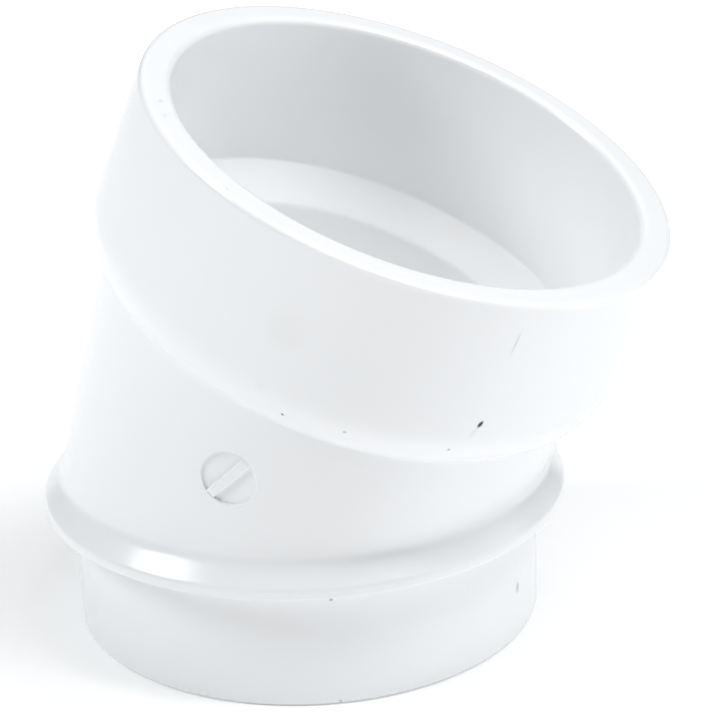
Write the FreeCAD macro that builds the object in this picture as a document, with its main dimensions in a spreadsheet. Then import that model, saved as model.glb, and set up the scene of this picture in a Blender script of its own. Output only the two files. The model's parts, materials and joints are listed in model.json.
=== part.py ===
import FreeCAD, Part
import os
import re
import Sketcher

# Street elbow for drain pipe: a 22.5 degree (one sixteenth) bend in white PVC.
# A plain spigot goes down into another fitting until the flared stop collar meets it,
# and a socket hub at the top takes the end of a nominal 2 inch pipe.
#
# Frame: millimetres, +Z up along the spigot, origin at the centre of the spigot's end.
# The hub leans towards +X. The mould parts in the XZ plane, and the small round
# insert mark faces -Y.
#
# The real fitting is one moulding. It is built here as the rings and the bent tube
# that make it up, each meeting the next face to face.

doc = FreeCAD.newDocument("StreetElbow")

# ---------------------------------------------------------------- driving dimensions

DIMENSIONS = [
    ("pipe_radius", 30.16, "outside radius of the spigot, the same as the pipe"),
    ("bore_radius", 26.25, "waterway radius from the spigot to the stop ledge"),
    ("spigot_length", 16.5, "spigot end to the underside of the stop collar"),
    ("spigot_chamfer", 0.5, "lead-in at the spigot's outer edge"),
    ("collar_radius", 34.0, "outside radius of the stop collar"),
    ("collar_lip", 1.2, "height of the collar's upright edge"),
    ("collar_height", 4.1, "underside of the collar to the top of its cone"),
    ("collar_round", 0.3, "rounding of the collar's two edges"),
    ("neck_radius", 31.5, "outside radius of the bend above the collar"),
    ("bend_angle", 22.5, "angle between the spigot axis and the hub axis, degrees"),
    ("bend_height", 25.0, "spigot end to the point where the two axes cross"),
    ("shoulder_start", 18.2, "axis crossing to the foot of the shoulder, along the hub"),
    ("throat_radius", 31.6, "outside radius at the foot of the shoulder"),
    ("ledge_foot", 17.1, "axis crossing to the foot of the sloping stop ledge"),
    ("shoulder_length", 6.5, "foot of the shoulder to the hub's straight wall"),
    ("socket_bottom", 21.5, "axis crossing to the bottom of the socket"),
    ("socket_radius", 30.3, "inside radius of the socket"),
    ("hub_radius", 34.6, "outside radius of the hub where its wall starts"),
    ("rim_radius", 34.1, "outside radius of the hub at its rim"),
    ("rim_height", 42.7, "axis crossing to the face of the rim"),
    ("rim_outer_round", 0.8, "rounding of the rim's outer edge"),
    ("rim_inner_round", 0.9, "rounding of the rim's inner edge"),
    ("mark_radius", 3.55, "radius of the round insert mark"),
    ("mark_x", 5.7, "insert mark's centre along X"),
    ("mark_z", 31.4, "insert mark's centre above the spigot end"),
    ("mark_floor", 30.95, "distance of the middle of the mark's floor from the XZ plane"),
    ("mark_turn", 4.0, "turn of the mark's floor from -Y towards +X, degrees"),
    ("mark_cut", 3.0, "travel of the mark's cut, out past the wall"),
    ("rib_width", 1.25, "width of the rib across the mark"),
    ("rib_height", 0.5, "height of the rib above the mark's floor"),
    ("rib_angle", 43.0, "slope of the rib from the X axis, degrees"),
]
ALIASES = {alias for alias, value, meaning in DIMENSIONS}
MATCH_TOLERANCE = 0.01
LEAST_CUT_VOLUME = 1.0
START_POINT = 1
END_POINT = 2
CENTRE_POINT = 3

sheet = doc.addObject("Spreadsheet::Sheet", "Dimensions")
for row, (alias, value, meaning) in enumerate(DIMENSIONS, start=1):
    sheet.set("A%d" % row, meaning)
    sheet.set("B%d" % row, str(value))
    sheet.setAlias("B%d" % row, alias)
doc.recompute()


def cells(text):
    """Point each dimension named in an expression at its cell in the sheet."""
    return re.sub(r"[a-z_]+", lambda m: "Dimensions." + m[0] if m[0] in ALIASES else m[0], text)


def number(text):
    """The value that an expression has now, worked out in a spare cell of the sheet."""
    sheet.set("D1", "=" + text)
    sheet.recompute()
    return float(getattr(sheet.get("D1"), "Value", sheet.get("D1")))


# ---------------------------------------------------------------- shared steps

def new_body(label):
    body = doc.addObject("PartDesign::Body", label)
    body.Label = label
    return body


def origin_plane(body, role):
    return next(item for item in body.Origin.OriginFeatures if item.Role == role)


def new_sketch(body, name, role):
    sketch = body.newObject("Sketcher::SketchObject", name)
    sketch.AttachmentSupport = (origin_plane(body, role), [""])
    sketch.MapMode = "FlatFace"
    return sketch


def pin_point(sketch, edge, end, across, up):
    """Hold one end of a sketch edge at a distance across and up from the sketch's origin."""
    for kind, text in (("DistanceX", across), ("DistanceY", up)):
        index = sketch.addConstraint(Sketcher.Constraint(kind, -1, 1, edge, end, number(text)))
        sketch.setExpression("Constraints[%d]" % index, cells(text))


def profile(body, name, corners, arcs=None):
    """A closed outline of (radius, height) corners, for turning about the body's Z axis.

    arcs maps the number of a corner to the radius of the arc that leaves it and bulges
    away from the axis. Every other side is straight.
    """
    arcs = arcs or {}
    sketch = new_sketch(body, name, "XZ_Plane")
    places = [FreeCAD.Vector(number(r), number(z), 0) for r, z in corners]
    count = len(places)
    for i, start in enumerate(places):
        end = places[(i + 1) % count]
        if i in arcs:
            chord = end - start
            radius = number(arcs[i])
            rise = radius - (radius ** 2 - (chord.Length / 2) ** 2) ** 0.5
            outward = FreeCAD.Vector(chord.y, -chord.x, 0).normalize()
            middle = (start + end) * 0.5 + outward * rise
            sketch.addGeometry(Part.Arc(start, middle, end))
        else:
            sketch.addGeometry(Part.LineSegment(start, end))
    for i in range(count):
        following = (i + 1) % count
        sketch.addConstraint(
            Sketcher.Constraint("Coincident", i, END_POINT, following, START_POINT))
        pin_point(sketch, i, START_POINT, *corners[i])
    for i, text in arcs.items():
        index = sketch.addConstraint(Sketcher.Constraint("Radius", i, number(text)))
        sketch.setExpression("Constraints[%d]" % index, cells(text))
    return sketch


def turned(body, sketch):
    """Turn an outline a full circle about the body's Z axis."""
    ring = body.newObject("PartDesign::Revolution", body.Label + "_turn")
    ring.Profile = sketch
    ring.ReferenceAxis = (sketch, ["V_Axis"])
    ring.Angle = 360.0
    doc.recompute()
    return ring


def ring_edge(feature, radius, height):
    """Name of the circular edge with a radius, at a height along the body's Z axis."""
    for i, edge in enumerate(feature.Shape.Edges, start=1):
        curve = edge.Curve
        if not isinstance(curve, Part.Circle):
            continue
        off = abs(curve.Radius - number(radius)) + abs(curve.Center.z - number(height))
        if off < MATCH_TOLERANCE:
            return "Edge%d" % i
    raise ValueError("no edge of radius %s at height %s" % (radius, height))


def rounded(body, base, name, rings, radius):
    """Round the circular edges given as (radius, height)."""
    fillet = body.newObject("PartDesign::Fillet", name)
    fillet.Base = (base, [ring_edge(base, *ring) for ring in rings])
    fillet.setExpression("Radius", cells(radius))
    doc.recompute()
    return fillet


def lean_with_hub(body):
    """Stand a body on the point where the axes cross, leaning along the hub."""
    body.Placement = FreeCAD.Placement(
        FreeCAD.Vector(0, 0, number("bend_height")),
        FreeCAD.Rotation(FreeCAD.Vector(0, 1, 0), number("bend_angle")))
    body.setExpression("Placement.Base.z", cells("bend_height"))
    body.setExpression("Placement.Rotation.Angle", cells("bend_angle"))


# ---------------------------------------------------------------- the spigot

def make_spigot():
    """Plain tube end, with a small lead-in so that it enters a socket."""
    body = new_body("spigot_end")
    outline = profile(body, "spigot_outline", [
        ("bore_radius", "0"),
        ("pipe_radius - spigot_chamfer", "0"),
        ("pipe_radius", "spigot_chamfer"),
        ("pipe_radius", "spigot_length"),
        ("bore_radius", "spigot_length"),
    ])
    turned(body, outline)
    return body


# ---------------------------------------------------------------- the stop collar

def make_collar():
    """Ring with a flat underside and a short upright edge, coned in to the bend above."""
    body = new_body("stop_collar")
    lip_top = "spigot_length + collar_lip"
    cone_top = "spigot_length + collar_height"
    outline = profile(body, "collar_outline", [
        ("bore_radius", "spigot_length"),
        ("collar_radius", "spigot_length"),
        ("collar_radius", lip_top),
        ("neck_radius", cone_top),
        ("bore_radius", cone_top),
    ])
    ring = turned(body, outline)
    rounded(body, ring, "collar_rounding",
            [("collar_radius", "spigot_length"), ("collar_radius", lip_top)], "collar_round")
    return body


# ---------------------------------------------------------------- the bend

def level_circle(body, name, radius, height):
    """Circle about the Z axis, at a height."""
    sketch = new_sketch(body, name, "XY_Plane")
    sketch.AttachmentOffset = FreeCAD.Placement(
        FreeCAD.Vector(0, 0, number(height)), FreeCAD.Rotation())
    sketch.setExpression("AttachmentOffset.Base.z", cells(height))
    add_circle(sketch, radius)
    return sketch


def leaning_circle(body, name, radius, distance):
    """Circle about the hub axis, at a distance along it from the axis crossing."""
    across = "(%s) * sin(bend_angle)" % distance
    up = "bend_height + (%s) * cos(bend_angle)" % distance
    sketch = new_sketch(body, name, "XY_Plane")
    sketch.AttachmentOffset = FreeCAD.Placement(
        FreeCAD.Vector(number(across), 0, number(up)),
        FreeCAD.Rotation(FreeCAD.Vector(0, 1, 0), number("bend_angle")))
    sketch.setExpression("AttachmentOffset.Base.x", cells(across))
    sketch.setExpression("AttachmentOffset.Base.z", cells(up))
    sketch.setExpression("AttachmentOffset.Rotation.Angle", cells("bend_angle"))
    add_circle(sketch, radius)
    return sketch


def add_circle(sketch, radius):
    """Circle round the sketch's own origin."""
    sketch.addGeometry(Part.Circle(FreeCAD.Vector(), FreeCAD.Vector(0, 0, 1), number(radius)))
    sketch.addConstraint(Sketcher.Constraint("Coincident", 0, CENTRE_POINT, -1, START_POINT))
    index = sketch.addConstraint(Sketcher.Constraint("Radius", 0, number(radius)))
    sketch.setExpression("Constraints[%d]" % index, cells(radius))


def drawn_between(body, kind, name, low, *higher):
    loft = body.newObject(kind, name)
    loft.Profile = low
    loft.Sections = list(higher)
    loft.Ruled = True
    doc.recompute()
    return loft


# Radius of the stop ledge where the bend meets the shoulder.
LEDGE_AT_SHOULDER = (
    "bore_radius + (socket_radius - bore_radius)"
    " * (shoulder_start - ledge_foot) / (socket_bottom - ledge_foot)")


def make_bend():
    """Hollow tube from the level collar to the leaning foot of the shoulder."""
    body = new_body("bend_body")
    cone_top = "spigot_length + collar_height"
    solid = drawn_between(
        body, "PartDesign::AdditiveLoft", "bend_outside",
        level_circle(body, "outside_low", "neck_radius", cone_top),
        leaning_circle(body, "outside_high", "throat_radius", "shoulder_start"))
    hollow = drawn_between(
        body, "PartDesign::SubtractiveLoft", "bend_waterway",
        level_circle(body, "waterway_low", "bore_radius", cone_top),
        leaning_circle(body, "ledge_low", "bore_radius", "ledge_foot"),
        leaning_circle(body, "ledge_middle", LEDGE_AT_SHOULDER, "shoulder_start"))
    check_cut(solid, hollow)

    mark = new_sketch(body, "mark_circle", "XZ_Plane")
    mark.AttachmentOffset = FreeCAD.Placement(
        FreeCAD.Vector(number("mark_x"), number("mark_z"), number("mark_floor")),
        FreeCAD.Rotation(FreeCAD.Vector(0, 1, 0), number("mark_turn")))
    mark.setExpression("AttachmentOffset.Base.x", cells("mark_x"))
    mark.setExpression("AttachmentOffset.Base.y", cells("mark_z"))
    mark.setExpression("AttachmentOffset.Base.z", cells("mark_floor"))
    mark.setExpression("AttachmentOffset.Rotation.Angle", cells("mark_turn"))
    add_circle(mark, "mark_radius")
    recess = body.newObject("PartDesign::Pocket", "mark_recess")
    recess.Profile = mark
    recess.Reversed = True
    recess.setExpression("Length", cells("mark_cut"))
    doc.recompute()
    check_cut(hollow, recess)
    return body


def check_cut(before, after):
    """Stop if a cut took nothing away."""
    if before.Shape.Volume - after.Shape.Volume < LEAST_CUT_VOLUME:
        raise ValueError("%s cut nothing" % after.Name)


# ---------------------------------------------------------------- the mark's rib

def make_rib():
    """Raised bar across the round mark, its ends on the mark's own circle."""
    bar = doc.addObject("Part::Box", "rib_bar")
    bar.setExpression("Length", cells("2 * mark_radius"))
    bar.setExpression("Width", cells("rib_width"))
    bar.setExpression("Height", cells("rib_height"))
    bar.setExpression("Placement.Base.x", cells("-mark_radius"))
    bar.setExpression("Placement.Base.y", cells("-rib_width / 2"))
    disc = doc.addObject("Part::Cylinder", "rib_ends")
    disc.setExpression("Radius", cells("mark_radius"))
    disc.setExpression("Height", cells("rib_height"))
    rib = doc.addObject("Part::Common", "date_insert_rib")
    rib.Label = "date_insert_rib"
    rib.Base = bar
    rib.Tool = disc
    # The bar lies flat first: turn it to its slope, stand it up to face -Y, and turn it
    # with the mark's floor.
    floor_turn = FreeCAD.Rotation(FreeCAD.Vector(0, 0, 1), number("mark_turn"))
    face_out = FreeCAD.Rotation(FreeCAD.Vector(1, 0, 0), 90)
    slope = FreeCAD.Rotation(FreeCAD.Vector(0, 0, 1), number("rib_angle"))
    centre = FreeCAD.Vector(number("mark_x"), -number("mark_floor"), number("mark_z"))
    rib.Placement = FreeCAD.Placement(centre, floor_turn * face_out * slope)
    rib.setExpression("Placement.Base.x", cells("mark_x"))
    rib.setExpression("Placement.Base.y", cells("-mark_floor"))
    rib.setExpression("Placement.Base.z", cells("mark_z"))
    return rib


# ---------------------------------------------------------------- the hub

HUB_WALL_START = "shoulder_start + shoulder_length"
SHOULDER_STEP = "(hub_radius - throat_radius)"
# The shoulder is one arc that ends along the hub's wall.
SHOULDER_ARC = "(shoulder_length ^ 2 + %s ^ 2) / (2 * %s)" % (SHOULDER_STEP, SHOULDER_STEP)
SHOULDER_AT_SOCKET_BOTTOM = (
    "hub_radius - (%s) + sqrt((%s) ^ 2 - (%s - socket_bottom) ^ 2)"
    % (SHOULDER_ARC, SHOULDER_ARC, HUB_WALL_START))


def make_shoulder():
    """Ring that widens the bend to the hub, with most of the pipe's stop ledge inside."""
    body = new_body("hub_shoulder")
    outline = profile(body, "shoulder_outline", [
        (LEDGE_AT_SHOULDER, "shoulder_start"),
        ("throat_radius", "shoulder_start"),
        (SHOULDER_AT_SOCKET_BOTTOM, "socket_bottom"),
        ("socket_radius", "socket_bottom"),
    ], arcs={1: SHOULDER_ARC})
    turned(body, outline)
    lean_with_hub(body)
    return body


def make_socket():
    """Straight socket that the pipe is cemented into, with a rounded rim."""
    body = new_body("socket_hub")
    outline = profile(body, "socket_outline", [
        ("socket_radius", "socket_bottom"),
        (SHOULDER_AT_SOCKET_BOTTOM, "socket_bottom"),
        ("hub_radius", HUB_WALL_START),
        ("rim_radius", "rim_height"),
        ("socket_radius", "rim_height"),
    ], arcs={1: SHOULDER_ARC})
    ring = turned(body, outline)
    outer = rounded(body, ring, "rim_outer_rounding",
                    [("rim_radius", "rim_height")], "rim_outer_round")
    rounded(body, outer, "rim_inner_rounding",
            [("socket_radius", "rim_height")], "rim_inner_round")
    lean_with_hub(body)
    return body


# ---------------------------------------------------------------- check and write

pieces = [make_spigot(), make_collar(), make_bend(), make_rib(), make_shoulder(), make_socket()]
doc.recompute()

for item in doc.Objects:
    if "Invalid" in item.State or "Error" in item.State:
        raise RuntimeError("%s failed: %s" % (item.Name, item.State))
for piece in pieces:
    if piece.Shape.isNull() or not piece.Shape.isValid():
        raise RuntimeError("%s has no valid shape" % piece.Label)

os.makedirs("parts", exist_ok=True)
for piece in pieces:
    piece.Shape.exportStep("parts/%s.step" % piece.Label)
    print("%-16s %9.1f mm3" % (piece.Label, piece.Shape.Volume))
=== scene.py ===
import json
import math

import bpy
import numpy as np
from mathutils import Matrix, Vector


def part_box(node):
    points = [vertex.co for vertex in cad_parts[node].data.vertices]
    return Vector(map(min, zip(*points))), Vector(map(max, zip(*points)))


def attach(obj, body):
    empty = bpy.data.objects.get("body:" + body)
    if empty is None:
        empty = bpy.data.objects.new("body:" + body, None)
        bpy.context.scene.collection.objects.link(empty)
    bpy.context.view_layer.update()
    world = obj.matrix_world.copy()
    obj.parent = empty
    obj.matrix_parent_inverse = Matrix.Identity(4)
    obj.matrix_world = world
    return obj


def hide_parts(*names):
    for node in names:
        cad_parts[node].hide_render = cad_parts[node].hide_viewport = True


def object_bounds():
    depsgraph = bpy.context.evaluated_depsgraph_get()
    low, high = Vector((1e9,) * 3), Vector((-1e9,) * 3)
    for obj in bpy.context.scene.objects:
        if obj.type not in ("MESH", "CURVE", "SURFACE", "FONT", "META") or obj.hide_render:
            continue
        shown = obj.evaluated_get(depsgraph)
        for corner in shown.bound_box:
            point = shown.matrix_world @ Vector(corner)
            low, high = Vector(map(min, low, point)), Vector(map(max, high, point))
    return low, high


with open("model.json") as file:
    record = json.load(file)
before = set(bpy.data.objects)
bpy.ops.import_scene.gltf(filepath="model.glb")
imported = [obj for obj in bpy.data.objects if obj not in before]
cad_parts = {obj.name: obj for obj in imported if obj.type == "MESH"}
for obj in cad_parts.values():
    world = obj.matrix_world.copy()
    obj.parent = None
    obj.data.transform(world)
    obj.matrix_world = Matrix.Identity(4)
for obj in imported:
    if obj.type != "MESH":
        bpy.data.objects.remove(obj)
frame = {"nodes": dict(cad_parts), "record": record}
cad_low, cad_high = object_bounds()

# A white PVC street elbow. Each region of the moulding is one closed mesh, cut from one
# continuous skin, so that the regions meet with no step in shape or shading.
# Everything is in metres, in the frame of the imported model.

MM = 0.001

# ---------------------------------------------------------------- sizes from the frame

mounts = {mount["name"]: mount for mount in frame["record"]["mounts"]}
PIPE_RADIUS = mounts["spigot"]["dims"]["r_mm"] * MM
BORE_RADIUS = mounts["spigot_bore"]["dims"]["r_mm"] * MM
SOCKET_RADIUS = mounts["socket"]["dims"]["r_mm"] * MM

hub_axis = np.array(mounts["socket"]["axis"])
hub_axis /= np.linalg.norm(hub_axis)
hub_across = np.array([hub_axis[2], 0.0, -hub_axis[0]])
socket_at = np.array(mounts["socket"]["pos_m"])
# The two axes cross on the Z axis, at the origin of every distance along the hub.
crossing = np.array([0.0, 0.0, socket_at[2] - socket_at[0] * hub_axis[2] / hub_axis[0]])


def hub_rings(cad_node):
    """Distance along the hub axis, and radius from it, of each of a node's vertices."""
    places = np.array([vertex.co for vertex in frame["nodes"][cad_node].data.vertices]) - crossing
    along = places @ hub_axis
    return along, np.linalg.norm(places - along[:, None] * hub_axis, axis=1)


collar_low, collar_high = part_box("stop_collar")
COLLAR_LOW = collar_low.z
CONE_TOP = collar_high.z
COLLAR_RADIUS = collar_high.x
COLLAR_LIP = 1.2 * MM
SPIGOT_CHAMFER = 0.5 * MM
NECK_RADIUS = 31.5 * MM

shoulder_along, shoulder_radii = hub_rings("hub_shoulder")
socket_along, socket_radii = hub_rings("socket_hub")
SHOULDER_FOOT = shoulder_along.min()
SOCKET_BOTTOM = socket_along.min()
RIM_FACE = socket_along.max()
at_foot = shoulder_along < SHOULDER_FOOT + 0.1 * MM
THROAT_RADIUS = shoulder_radii[at_foot].max()
LEDGE_AT_SHOULDER = shoulder_radii[at_foot].min()
HUB_RADIUS = socket_radii.max()
# How much the hub's outside draws in, from the start of its wall to the rim.
HUB_DRAFT = 0.3 * MM
RIM_RADIUS = HUB_RADIUS - HUB_DRAFT
SHOULDER_LENGTH = 6.5 * MM
LEDGE_FOOT = 17.1 * MM

# The round insert mark is a recess whose flat floor is turned a little about +Z.
rib_low, rib_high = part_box("date_insert_rib")
MARK_TURN = math.radians(4)
RIB_HEIGHT = 0.5 * MM
RIB_SLOPE = math.radians(43)
RIB_WIDTH = 1.25 * MM
MARK_OUT = np.array([math.sin(MARK_TURN), -math.cos(MARK_TURN), 0])
mark_centre = np.array((rib_low + rib_high) / 2) - MARK_OUT * RIB_HEIGHT / 2
MARK_X, MARK_FLOOR, MARK_Z = mark_centre
rib_vertices = frame["nodes"]["date_insert_rib"].data.vertices
rib_places = np.array([vertex.co for vertex in rib_vertices]) - mark_centre
in_floor = rib_places - (rib_places @ MARK_OUT)[:, None] * MARK_OUT
MARK_RADIUS = np.linalg.norm(in_floor, axis=1).max()

# ---------------------------------------------------------------- the skin

# Angles round the axis: even steps, with finer ones beside the mould's parting line.
EVEN_STEPS = 288
SEAM_ANGLES = [math.radians(a) for a in (0.12, 0.3, 0.5, 0.8)]
SEAM_HEIGHT = 0.015 * MM
SEAM_WIDTH = 0.3 * MM


def angles_round():
    even = [2 * math.pi * i / EVEN_STEPS for i in range(EVEN_STEPS)]
    fine = [side + sign * a for side in (0, math.pi) for a in SEAM_ANGLES for sign in (-1, 1)]
    return np.array(sorted(a % (2 * math.pi) for a in even + fine))


ANGLES = angles_round()
COS, SIN = np.cos(ANGLES)[:, None], np.sin(ANGLES)[:, None]


def level(radius, height):
    """Ring about the spigot axis."""
    return np.array([0, 0, height]) + radius * (COS * [1, 0, 0] + SIN * [0, 1, 0])


def leaning(radius, along):
    """Ring about the hub axis."""
    return crossing + along * hub_axis + radius * (COS * hub_across + SIN * [0, 1, 0])


def unit(rows):
    return rows / np.linalg.norm(rows, axis=-1, keepdims=True)


# Steps along the shoulder's arc, and the one nearest to where the two CAD nodes meet.
SHOULDER_STEPS = 14
SHOULDER_SPLIT = round(SHOULDER_STEPS * (SOCKET_BOTTOM - SHOULDER_FOOT) / SHOULDER_LENGTH)


def shoulder_name(step):
    return "shoulder_%d" % step


def shoulder_corners():
    """Rings of the shoulder's one arc, which ends along the hub's wall."""
    rise = HUB_RADIUS - THROAT_RADIUS
    arc = (SHOULDER_LENGTH ** 2 + rise ** 2) / (2 * rise)
    corners = []
    for step in range(1, SHOULDER_STEPS + 1):
        along = SHOULDER_LENGTH * step / SHOULDER_STEPS
        radius = HUB_RADIUS - arc + math.sqrt(arc ** 2 - (SHOULDER_LENGTH - along) ** 2)
        steps_after = WALL_STEPS if step == SHOULDER_STEPS else 1
        corners.append((shoulder_name(step), leaning(radius, SHOULDER_FOOT + along), 0, steps_after))
    return corners


# How far under the collar the spigot's piece ends, clear of the rounding in the corner.
SPLIT_DROP = 0.35 * MM
WALL_STEPS = 14
ROUND_STEPS = 6

# Corners of the section in order: up the outside, over the rim, and down the inside.
# Each is (name, ring, length of its rounding, steps in the straight side that follows).
# A rounding is a parabola that starts and ends its length away from the corner.
CORNERS = [
    ("spigot_inner", level(BORE_RADIUS, 0), 0.25 * MM, 3),
    ("spigot_face", level(PIPE_RADIUS - SPIGOT_CHAMFER, 0), 0.2 * MM, 1),
    ("spigot_outer", level(PIPE_RADIUS, SPIGOT_CHAMFER), 0.2 * MM, 10),
    ("spigot_split", level(PIPE_RADIUS, COLLAR_LOW - SPLIT_DROP), 0, 1),
    ("under_collar", level(PIPE_RADIUS, COLLAR_LOW), 0.3 * MM, 3),
    ("lip_low", level(COLLAR_RADIUS, COLLAR_LOW), 0.3 * MM, 2),
    ("lip_high", level(COLLAR_RADIUS, COLLAR_LOW + COLLAR_LIP), 0.45 * MM, 4),
    ("cone_top", level(NECK_RADIUS, CONE_TOP), 1.0 * MM, 36),
    ("throat", leaning(THROAT_RADIUS, SHOULDER_FOOT), 0.4 * MM, 1),
    *shoulder_corners(),
    ("rim_outer", leaning(RIM_RADIUS, RIM_FACE), 0.8 * MM, 4),
    ("rim_inner", leaning(SOCKET_RADIUS, RIM_FACE), 0.9 * MM, 14),
    ("socket_bottom", leaning(SOCKET_RADIUS, SOCKET_BOTTOM), 0.25 * MM, 4),
    ("ledge_split", leaning(LEDGE_AT_SHOULDER, SHOULDER_FOOT), 0, 2),
    ("ledge_foot", leaning(BORE_RADIUS, LEDGE_FOOT), 0.4 * MM, 16),
    ("bore_bend", level(BORE_RADIUS, CONE_TOP), 0.5 * MM, 4),
    ("bore_split", level(BORE_RADIUS, COLLAR_LOW - SPLIT_DROP), 0, 10),
]


def trace(corners):
    """Rings all the way round the section, and where each corner's rounding starts and ends."""
    rings, starts, ends = [], {}, {}
    count = len(corners)
    for i, (name, corner, length, steps) in enumerate(corners):
        before, after = corners[i - 1][1], corners[(i + 1) % count][1]
        into, out = unit(corner - before), unit(after - corner)
        starts[name] = len(rings)
        if length:
            for t in np.linspace(0, 1, ROUND_STEPS + 1):
                first, last = corner - into * length, corner + out * length
                rings.append((1 - t) ** 2 * first + 2 * t * (1 - t) * corner + t ** 2 * last)
        else:
            rings.append(corner)
        ends[name] = len(rings) - 1
        leave = corner + out * length
        arrive = after - out * corners[(i + 1) % count][2]
        for step in range(1, steps):
            rings.append(leave + (arrive - leave) * step / steps)
    return np.array(rings), starts, ends


RINGS, STARTS, ENDS = trace(CORNERS)


def skin_normals(rings):
    """Normal at each point of the skin, weighted by the area of the faces round it."""
    down = np.roll(rings, -1, axis=0)
    corner = np.roll(down, -1, axis=1)
    side = np.roll(rings, -1, axis=1)
    faces = np.cross(corner - rings, down - side)
    total = faces + np.roll(faces, 1, axis=0)
    total = total + np.roll(total, 1, axis=1)
    return unit(total)


def raise_parting_line(rings):
    """Fine ridge where the mould's halves met, all round the outside in the XZ plane."""
    outside = np.zeros(len(rings), bool)
    outside[STARTS["spigot_outer"]:STARTS["rim_outer"] + 1] = True
    height = SEAM_HEIGHT * np.exp(-(rings[..., 1] / (SEAM_WIDTH / 2)) ** 2)
    return rings + skin_normals(rings) * (height * outside[:, None])[..., None]


RINGS = raise_parting_line(RINGS)
NORMALS = skin_normals(RINGS)


# ---------------------------------------------------------------- meshes

TINY = 1e-12


def add_piece(name, cad_node, mesh, material):
    """Object in the scene that stands for one CAD node."""
    mesh.materials.append(material)
    piece = bpy.data.objects.new(name, mesh)
    bpy.context.scene.collection.objects.link(piece)
    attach(piece, "root")
    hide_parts(cad_node)


def closed_ring(name, cad_node, spans, material, window=None):
    """Closed mesh of the skin's rings in spans, joined end to end by flat hidden faces.

    window, if given, is a function of the ring numbers. It says which faces to leave out,
    as (row, column), and what fills the gap: more points, faces and normals.
    """
    chosen = [ring % len(RINGS) for start, end in spans for ring in range(start, end + 1)]
    caps = set(np.cumsum([end - start + 1 for start, end in spans]) - 1)
    around = len(ANGLES)
    points = [tuple(p) for ring in chosen for p in RINGS[ring]]
    skin = NORMALS[chosen].reshape(-1, 3)
    faces, normals = [], []
    left_out, filling = window(chosen) if window else (set(), None)
    for row in range(len(chosen)):
        below = (row + 1) % len(chosen)
        for column in range(around):
            if (row, column) in left_out:
                continue
            following = (column + 1) % around
            face = [row * around + column, row * around + following,
                    below * around + following, below * around + column]
            faces.append(face)
            if row in caps:
                a, b, c, d = (np.array(points[i]) for i in face)
                flat = np.cross(c - a, d - b)
                normals += [flat / max(np.linalg.norm(flat), TINY)] * 4
            else:
                normals += [skin[i] for i in face]
    if filling:
        more_points, more_faces, more_normals = filling
        points += more_points
        faces += more_faces
        normals += more_normals
    mesh = bpy.data.meshes.new(name)
    mesh.from_pydata(points, [], faces)
    mesh.shade_smooth()
    mesh.normals_split_custom_set([tuple(n) for n in normals])
    add_piece(name, cad_node, mesh, material)


# ---------------------------------------------------------------- the round insert mark

MARK_EDGE = 0.12 * MM
WINDOW_HALF_ANGLE = math.radians(9.5)
WINDOW_RINGS = 9
WINDOW_STEPS = 7


def wall_at(x, z):
    """Point of the bend's straight outer wall at x and z, on its -Y side."""
    low, high = np.array([0, 0, CONE_TOP]), crossing + SHOULDER_FOOT * hub_axis
    cos = 0.0
    # The wall's slope depends on the place round it, so the two are found by turns.
    for _ in range(30):
        rise = (z - low[2]) / (high[2] - low[2] - THROAT_RADIUS * cos * hub_axis[0])
        reach = (1 - rise) * NECK_RADIUS + rise * THROAT_RADIUS * hub_axis[2]
        cos = (x - rise * high[0]) / reach
    radius = (1 - rise) * NECK_RADIUS + rise * THROAT_RADIUS
    return np.array([x, -math.sqrt(1 - cos ** 2) * radius, z])


def wall_normal(x, z, step=0.05 * MM):
    """Normal of that wall, from points a step away on each side."""
    along_x = wall_at(x + step, z) - wall_at(x - step, z)
    along_z = wall_at(x, z + step) - wall_at(x, z - step)
    return unit(np.cross(along_x, along_z))


def floor_at(x, z):
    """Point of the mark's flat floor at x and z."""
    return np.array([x, MARK_FLOOR + (x - MARK_X) * math.tan(MARK_TURN), z])


def on_circle(turn, radius):
    """x and z at a turn and radius about the mark's centre."""
    return MARK_X + radius * math.cos(turn), MARK_Z + radius * math.sin(turn)


def mark_border():
    """The square round the mark, as (row, column) of its points, and the faces inside it."""
    wall = RINGS[ENDS["cone_top"]:STARTS["throat"]]
    away = np.hypot(wall[..., 0] - MARK_X, wall[..., 2] - MARK_Z) + (wall[..., 1] > 0)
    row, column = divmod(int(np.argmin(away)), len(ANGLES))
    half_columns = round(WINDOW_HALF_ANGLE / (2 * math.pi / EVEN_STEPS))
    bottom, top = row - WINDOW_RINGS, row + WINDOW_RINGS
    left, right = column - half_columns, column + half_columns
    inside = {(r, c) for r in range(bottom, top) for c in range(left, right)}
    border = [(bottom, c) for c in range(left, right)]
    border += [(r, right) for r in range(bottom, top)]
    border += [(top, c) for c in range(right, left, -1)]
    border += [(r, left) for r in range(top, bottom, -1)]
    return border, inside


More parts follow.
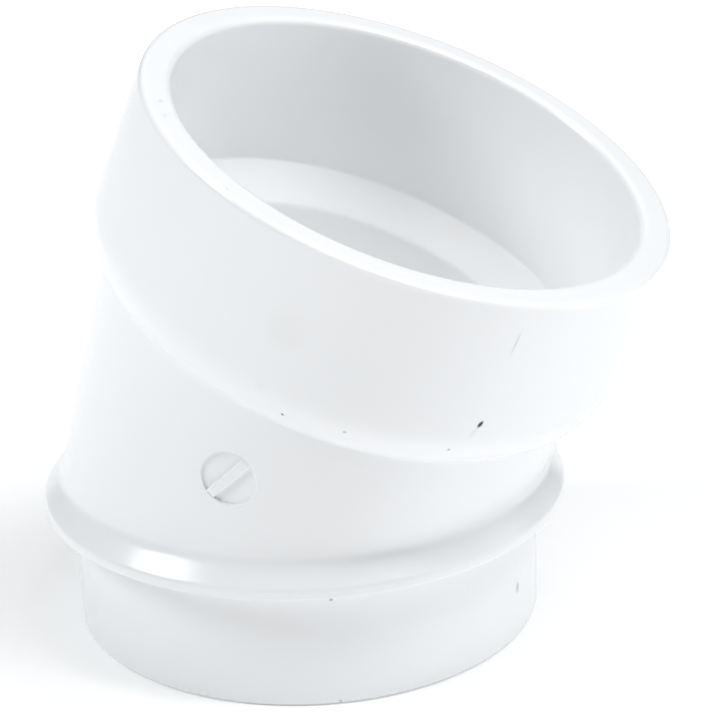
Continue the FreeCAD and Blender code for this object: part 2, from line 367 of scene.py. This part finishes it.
def mark_rings(square, turns):
    """Points and normals of each ring, from just inside the square to the mark's floor."""
    edge = MARK_RADIUS + MARK_EDGE
    inward = [np.array([-math.cos(turn), 0, -math.sin(turn)]) for turn in turns]
    rings = []
    # Over the wall, from square to round.
    for share in np.linspace(0, 1, WINDOW_STEPS + 1)[1:]:
        places = []
        for start, turn in zip(square, turns):
            x, z = on_circle(turn, edge)
            places.append((start[0] + (x - start[0]) * share, start[2] + (z - start[2]) * share))
        rings.append(([wall_at(x, z) for x, z in places], [wall_normal(x, z) for x, z in places]))
    # Round the recess's outer edge.
    for share in (1 / 3, 2 / 3, 1):
        bend = share * math.pi / 2
        places, shades = [], []
        for turn, centre in zip(turns, inward):
            x, z = on_circle(turn, edge - MARK_EDGE * math.sin(bend))
            sink = MARK_EDGE * (1 - math.cos(bend))
            places.append(wall_at(x, z) + [0, sink, 0])
            out = wall_normal(x, z)
            shades.append(unit(out * math.cos(bend) + centre * math.sin(bend)))
        rings.append((places, shades))
    # Down to the floor and round the corner there.
    for share in (0, 1 / 2, 1):
        bend = share * math.pi / 2
        places, shades = [], []
        for turn, centre in zip(turns, inward):
            x, z = on_circle(turn, MARK_RADIUS - MARK_EDGE * (1 - math.cos(bend)))
            places.append(floor_at(x, z) - [0, MARK_EDGE * (1 - math.sin(bend)), 0])
            shades.append(unit(centre * math.cos(bend) + MARK_OUT * math.sin(bend)))
        rings.append((places, shades))
    # Across the floor.
    for share in (0.6, 0.25):
        places = [floor_at(*on_circle(turn, MARK_RADIUS * share)) for turn in turns]
        rings.append((places, [MARK_OUT] * len(turns)))
    return rings


def mark_window(chosen):
    """Round recess with a flat floor, joined to the wall by rings that grow square."""
    border, left_out = mark_border()
    square = [RINGS[chosen[r]][c] for r, c in border]
    turns = [math.atan2(p[2] - MARK_Z, p[0] - MARK_X) for p in square]
    rings = mark_rings(square, turns)
    count, around = len(border), len(ANGLES)
    base = len(chosen) * around
    centre_number = base + len(rings) * count
    points = [tuple(p) for places, _ in rings for p in places] + [tuple(mark_centre)]

    numbers = [[r * around + c for r, c in border]]
    shades = [[NORMALS[chosen[r]][c] for r, c in border]]
    for k, (_, ring_shades) in enumerate(rings):
        numbers.append([base + k * count + i for i in range(count)])
        shades.append(ring_shades)
    faces, normals = [], []
    for outer, inner, outer_shades, inner_shades in zip(numbers, numbers[1:], shades, shades[1:]):
        for i in range(count):
            j = (i + 1) % count
            faces.append([outer[i], outer[j], inner[j], inner[i]])
            normals += [outer_shades[i], outer_shades[j], inner_shades[j], inner_shades[i]]
    last = numbers[-1]
    for i in range(count):
        faces.append([last[i], last[(i + 1) % count], centre_number])
        normals += [MARK_OUT] * 3
    return left_out, (points, faces, normals)


# ---------------------------------------------------------------- the rib across the mark

RIB_ROUND = 0.14 * MM
RIB_STEPS = 24
BEND_STEPS = 4
# Share of half the rib's length after which its end is rounded off.
ROUND_FROM = 0.96


def make_rib(material):
    """Low bar with softened edges, whose two ends follow the mark's circle."""
    half = RIB_WIDTH / 2
    side = []
    for bend in [i / BEND_STEPS * math.pi / 2 for i in range(BEND_STEPS + 1)]:
        side.append((RIB_ROUND * (1 - math.sin(bend)) - half, RIB_ROUND * (1 - math.cos(bend))))
    # Each point of the section is (distance across the rib, depth below its top).
    section = [(-half, RIB_HEIGHT)] + side[::-1] + [(-v, depth) for v, depth in side]
    section.append((half, RIB_HEIGHT))
    level_line = np.array([math.cos(MARK_TURN), math.sin(MARK_TURN), 0])
    upright = np.array([0, 0, 1])
    along = level_line * math.cos(RIB_SLOPE) + upright * math.sin(RIB_SLOPE)
    across = upright * math.cos(RIB_SLOPE) - level_line * math.sin(RIB_SLOPE)
    centre = mark_centre + MARK_OUT * RIB_HEIGHT
    points = []
    for step in np.linspace(-1, 1, RIB_STEPS + 1):
        for v, depth in section:
            reach = math.sqrt(MARK_RADIUS ** 2 - v ** 2)
            end_drop = RIB_ROUND * max(0, abs(step) - ROUND_FROM) / (1 - ROUND_FROM)
            sink = min(depth + end_drop, RIB_HEIGHT)
            points.append(tuple(centre + along * step * reach + across * v - MARK_OUT * sink))
    size = len(section)
    faces = []
    for i in range(RIB_STEPS):
        for j in range(size):
            k = (j + 1) % size
            faces.append([i * size + j, i * size + k, (i + 1) * size + k, (i + 1) * size + j])
    faces.append(list(range(size))[::-1])
    faces.append([RIB_STEPS * size + j for j in range(size)])
    mesh = bpy.data.meshes.new("date_insert_rib_moulded")
    mesh.from_pydata(points, [], faces)
    mesh.shade_smooth()
    mesh.set_sharp_from_angle(angle=math.radians(50))
    add_piece("date_insert_rib_moulded", "date_insert_rib", mesh, material)


# ---------------------------------------------------------------- material

# Numbers of the Mix node's two colour inputs and its colour output.
MIX_A, MIX_B, MIX_RESULT = 6, 7, 2


def node(tree, kind, inputs=None, **settings):
    """New shader node, with its settings and the values or links of its inputs."""
    made = tree.nodes.new(kind)
    for name, value in settings.items():
        setattr(made, name, value)
    for name, value in (inputs or {}).items():
        socket = made.inputs[name]
        if isinstance(value, bpy.types.NodeSocket):
            tree.links.new(value, socket)
        else:
            socket.default_value = value
    return made


# Marks of use and moulding on this fitting, in millimetres:
# (what it is, centre, half sizes, direction of its length, colour, strength).
UPRIGHT = (0, 0, 1)
BLACK, GREY, DUST = (0.01, 0.01, 0.01, 1), (0.3, 0.3, 0.31, 1), (0.55, 0.55, 0.54, 1)
MARKS = [
    ("fleck on the shoulder", (14.1, -32.9, 41.4), (0.22, 0.2, 0.2), UPRIGHT, BLACK, 0.75),
    ("oval fleck on the hub", (34.4, -22.3, 39.0), (0.5, 0.27, 0.27), (0.6, 0.3, 0.85), BLACK, 1.0),
    ("smear below it", (33.7, -22.7, 37.9), (0.9, 0.25, 0.25), (0.6, 0.3, 0.85), DUST, 0.2),
    ("fleck on the crease", (21.1, -31.0, 39.5), (0.24, 0.2, 0.2), (1, 0, 0), GREY, 0.6),
    ("second fleck on the crease", (31.0, -23.8, 35.9), (0.2, 0.2, 0.2), UPRIGHT, GREY, 0.7),
    ("fleck under the collar", (15.9, -25.7, 14.5), (0.3, 0.2, 0.2), (1, 0, 0), GREY, 0.7),
    ("fleck at the spigot's end", (16.4, -25.3, 0.5), (0.25, 0.2, 0.2), (1, 0, 0), GREY, 0.6),
    ("nick on the parting line", (30.2, -1.0, 7.2), (0.75, 0.4, 0.3), UPRIGHT, GREY, 0.45),
    ("scratch on the hub", (38.8, -21.9, 49.6), (1.7, 0.18, 0.18), (0.4, 0.05, 0.92), GREY, 0.22),
    ("faint patch on the hub", (15.7, -34.3, 52.6), (2.4, 2.4, 2.4), UPRIGHT, DUST, 0.06),
    ("scuff on the rim", (-6.3, -20.9, 73.8), (0.4, 0.25, 0.25), (0, 1, 0), DUST, 0.35),
    ("second scuff on the rim", (-4.3, -23.6, 73.0), (0.35, 0.2, 0.2), (0, 1, 0), DUST, 0.3),
    ("third scuff on the rim", (7.9, -32.0, 67.9), (0.3, 0.2, 0.2), (1, 0, 0), DUST, 0.3),
]
# A small raised spot on the bend, also in millimetres.
LUMP_CENTRE = (11.9, -34.3, 45.0)
LUMP_SIZE = 0.55

TINT_LOW = (0.91, 0.92, 0.93, 1)
TINT_HIGH = (0.94, 0.945, 0.95, 1)
ROUGHNESS_LOW, ROUGHNESS_HIGH = 0.14, 0.3
SAG_HEIGHT = 0.08 * MM
GRAIN_HEIGHT = 0.002 * MM
LUMP_HEIGHT = 0.06 * MM
PVC_IOR = 1.53


def mark_mask(tree, place, centre, half_sizes, direction, strength):
    """Strength inside a stretched ball, fading to nothing a little past its surface."""
    turn = Vector(direction).to_track_quat("X", "Z").to_euler()
    local = node(tree, "ShaderNodeMapping",
                 {"Vector": place, "Location": [c * MM for c in centre], "Rotation": turn,
                  "Scale": [h * MM for h in half_sizes]}, vector_type="TEXTURE")
    away = node(tree, "ShaderNodeVectorMath", {0: local.outputs["Vector"]}, operation="LENGTH")
    return node(tree, "ShaderNodeMapRange",
                {"Value": away.outputs["Value"], "From Min": 0.6, "From Max": 1.3,
                 "To Min": strength, "To Max": 0.0}).outputs["Result"]


def noise(tree, place, scale, detail, roughness):
    made = node(tree, "ShaderNodeTexNoise",
                {"Vector": place, "Scale": scale, "Detail": detail, "Roughness": roughness})
    return made.outputs["Fac"]


def bump(tree, height, distance, before=None):
    """Normal bent by a height, on top of the normal before it if there is one."""
    inputs = {"Height": height, "Strength": 1.0, "Distance": distance}
    if before is not None:
        inputs["Normal"] = before
    return node(tree, "ShaderNodeBump", inputs).outputs["Normal"]


def mix(tree, factor, first, second):
    made = node(tree, "ShaderNodeMix", {"Factor": factor, MIX_A: first, MIX_B: second},
                data_type="RGBA")
    return made.outputs[MIX_RESULT]


def pvc_material():
    """White moulded PVC: faint clouding, fine grain, uneven gloss and a few marks."""
    material = bpy.data.materials.new("white_pvc_moulded")
    material.use_nodes = True
    tree = material.node_tree
    shader = tree.nodes["Principled BSDF"]
    place = node(tree, "ShaderNodeTexCoord").outputs["Object"]

    cloud = noise(tree, place, 38.0, 2.0, 0.5)
    colour = mix(tree, cloud, TINT_LOW, TINT_HIGH)
    for _, centre, half_sizes, direction, mark_colour, strength in MARKS:
        mask = mark_mask(tree, place, centre, half_sizes, direction, strength)
        colour = mix(tree, mask, colour, mark_colour)
    tree.links.new(colour, shader.inputs["Base Color"])

    normal = bump(tree, noise(tree, place, 60.0, 0.0, 0.4), SAG_HEIGHT)
    normal = bump(tree, noise(tree, place, 2600.0, 2.0, 0.6), GRAIN_HEIGHT, normal)
    lump = mark_mask(tree, place, LUMP_CENTRE, [LUMP_SIZE] * 3, UPRIGHT, 1.0)
    normal = bump(tree, lump, LUMP_HEIGHT, normal)
    tree.links.new(normal, shader.inputs["Normal"])

    wear = node(tree, "ShaderNodeMapRange",
                {"Value": cloud, "From Min": 0.0, "From Max": 1.0,
                 "To Min": ROUGHNESS_LOW, "To Max": ROUGHNESS_HIGH})
    tree.links.new(wear.outputs["Result"], shader.inputs["Roughness"])
    shader.inputs["IOR"].default_value = PVC_IOR
    return material


# ---------------------------------------------------------------- pieces

pvc = pvc_material()
LOOP = len(RINGS)

closed_ring("spigot_end_moulded", "spigot_end",
            [(STARTS["bore_split"], LOOP + STARTS["spigot_split"])], pvc)
closed_ring("stop_collar_moulded", "stop_collar",
            [(STARTS["spigot_split"], ENDS["cone_top"]),
             (STARTS["bore_bend"], STARTS["bore_split"])], pvc)
closed_ring("bend_body_moulded", "bend_body",
            [(ENDS["cone_top"], STARTS["throat"]), (STARTS["ledge_split"], STARTS["bore_bend"])],
            pvc, window=mark_window)
closed_ring("hub_shoulder_moulded", "hub_shoulder",
            [(STARTS["throat"], STARTS[shoulder_name(SHOULDER_SPLIT)]),
             (STARTS["socket_bottom"], STARTS["ledge_split"])], pvc)
closed_ring("socket_hub_moulded", "socket_hub",
            [(STARTS[shoulder_name(SHOULDER_SPLIT)], STARTS["socket_bottom"])], pvc)
make_rib(pvc)

# ---------------------------------------------------------------- floor, light and camera

FLOOR_SIZE = 6.0
# The floor's glow rises between two distances from the spigot's centre.
GLOW_FROM, GLOW_TO = 50 * MM, 200 * MM
GLOW_NEAR, GLOW_FAR = 0.17, 0.42
BORE_GLOW = 0.32
BORE_GLOW_MARGIN = 1 * MM
WORLD_GLOW = 0.05

# The camera looks at TARGET from CAMERA_DISTANCE away. Angles are in degrees.
TARGET = Vector((3.8, 0, 39.2)) * MM
CAMERA_AZIMUTH, CAMERA_ELEVATION, CAMERA_ROLL = 26.32, 21.04, -2.27
CAMERA_DISTANCE = 0.3462
SENSOR_WIDTH, FOCAL_LENGTH = 36, 135.8
SHIFT = 0.0486


def outwards(azimuth, elevation):
    """Direction from the object, for degrees round from -Y towards +X and up from level."""
    a, e = math.radians(azimuth), math.radians(elevation)
    return Vector((math.sin(a) * math.cos(e), -math.cos(a) * math.cos(e), math.sin(e)))


def make_floor():
    """Matt white paper, lit from below: a little outside, and more under the waterway."""
    bpy.ops.mesh.primitive_plane_add(size=FLOOR_SIZE, location=(0, 0, cad_low.z))
    floor = bpy.context.object
    floor.name = "studio_floor"
    paper = bpy.data.materials.new("studio_paper")
    paper.use_nodes = True
    shader = paper.node_tree.nodes["Principled BSDF"]
    shader.inputs["Base Color"].default_value = (0.93, 0.93, 0.93, 1)
    shader.inputs["Roughness"].default_value = 0.9
    shader.inputs["Specular IOR Level"].default_value = 0.1
    shader.inputs["Emission Color"].default_value = (1, 1, 1, 1)
    tree = paper.node_tree
    place = node(tree, "ShaderNodeTexCoord").outputs["Object"]
    away = node(tree, "ShaderNodeVectorMath", {0: place}, operation="LENGTH")
    glow = node(tree, "ShaderNodeMapRange",
                {"Value": away.outputs["Value"], "From Min": GLOW_FROM, "From Max": GLOW_TO,
                 "To Min": GLOW_NEAR, "To Max": GLOW_FAR})
    under_bore = node(tree, "ShaderNodeMapRange",
                      {"Value": away.outputs["Value"], "From Min": BORE_RADIUS + BORE_GLOW_MARGIN,
                       "From Max": PIPE_RADIUS - BORE_GLOW_MARGIN, "To Min": BORE_GLOW, "To Max": 0.0})
    total = node(tree, "ShaderNodeMath",
                 {0: glow.outputs["Result"], 1: under_bore.outputs["Result"]}, operation="ADD")
    tree.links.new(total.outputs["Value"], shader.inputs["Emission Strength"])
    floor.data.materials.append(paper)


def soft_box(name, azimuth, elevation, distance, size, power, colour):
    """Square area light that faces the middle of the object."""
    middle = (cad_low + cad_high) / 2
    back = outwards(azimuth, elevation)
    light = bpy.data.lights.new(name, "AREA")
    light.shape = "SQUARE"
    light.size = size
    light.energy = power
    light.color = colour
    lamp = bpy.data.objects.new(name, light)
    lamp.location = middle + back * distance
    lamp.rotation_euler = back.to_track_quat("Z", "Y").to_euler()
    bpy.context.scene.collection.objects.link(lamp)


def make_camera():
    """Camera at the photograph's angle, a little over 0.3 m away on a long lens."""
    roll = math.radians(CAMERA_ROLL)
    back = outwards(CAMERA_AZIMUTH, CAMERA_ELEVATION)
    right = (-back).cross(Vector((0, 0, 1))).normalized()
    up = back.cross(right)
    tilted_right = right * math.cos(roll) + up * math.sin(roll)
    tilted_up = up * math.cos(roll) - right * math.sin(roll)
    camera = bpy.data.objects.new("camera", bpy.data.cameras.new("camera"))
    turn = Matrix((tilted_right, tilted_up, back)).transposed().to_4x4()
    camera.matrix_world = Matrix.Translation(TARGET + back * CAMERA_DISTANCE) @ turn
    camera.data.sensor_width = SENSOR_WIDTH
    camera.data.lens = FOCAL_LENGTH
    camera.data.shift_x = SHIFT
    camera.data.shift_y = -SHIFT
    bpy.context.scene.collection.objects.link(camera)
    bpy.context.scene.camera = camera


make_floor()
# Each lamp's name, azimuth, elevation, distance, size, power and colour.
soft_box("key_box", -50, 42, 0.9, 0.32, 3.5, (0.945, 0.975, 1.0))
soft_box("right_box", 105, 30, 0.9, 0.9, 3.5, (0.93, 0.965, 1.0))
soft_box("left_box", -95, 20, 0.9, 0.8, 0.7, (0.92, 0.96, 1.0))
soft_box("high_box", 10, 70, 0.9, 0.5, 0.9, (1.0, 1.0, 1.0))
soft_box("mouth_box", 90, 66, 0.6, 0.3, 1.85, (1.0, 1.0, 1.0))
soft_box("back_box", 200, 55, 0.9, 0.8, 0.5, (1.0, 1.0, 1.0))
make_camera()

scene = bpy.context.scene
scene.view_settings.view_transform = "Standard"
world = bpy.data.worlds.new("studio")
world.use_nodes = True
world.node_tree.nodes["Background"].inputs["Color"].default_value = (1, 1, 1, 1)
world.node_tree.nodes["Background"].inputs["Strength"].default_value = WORLD_GLOW
scene.world = world
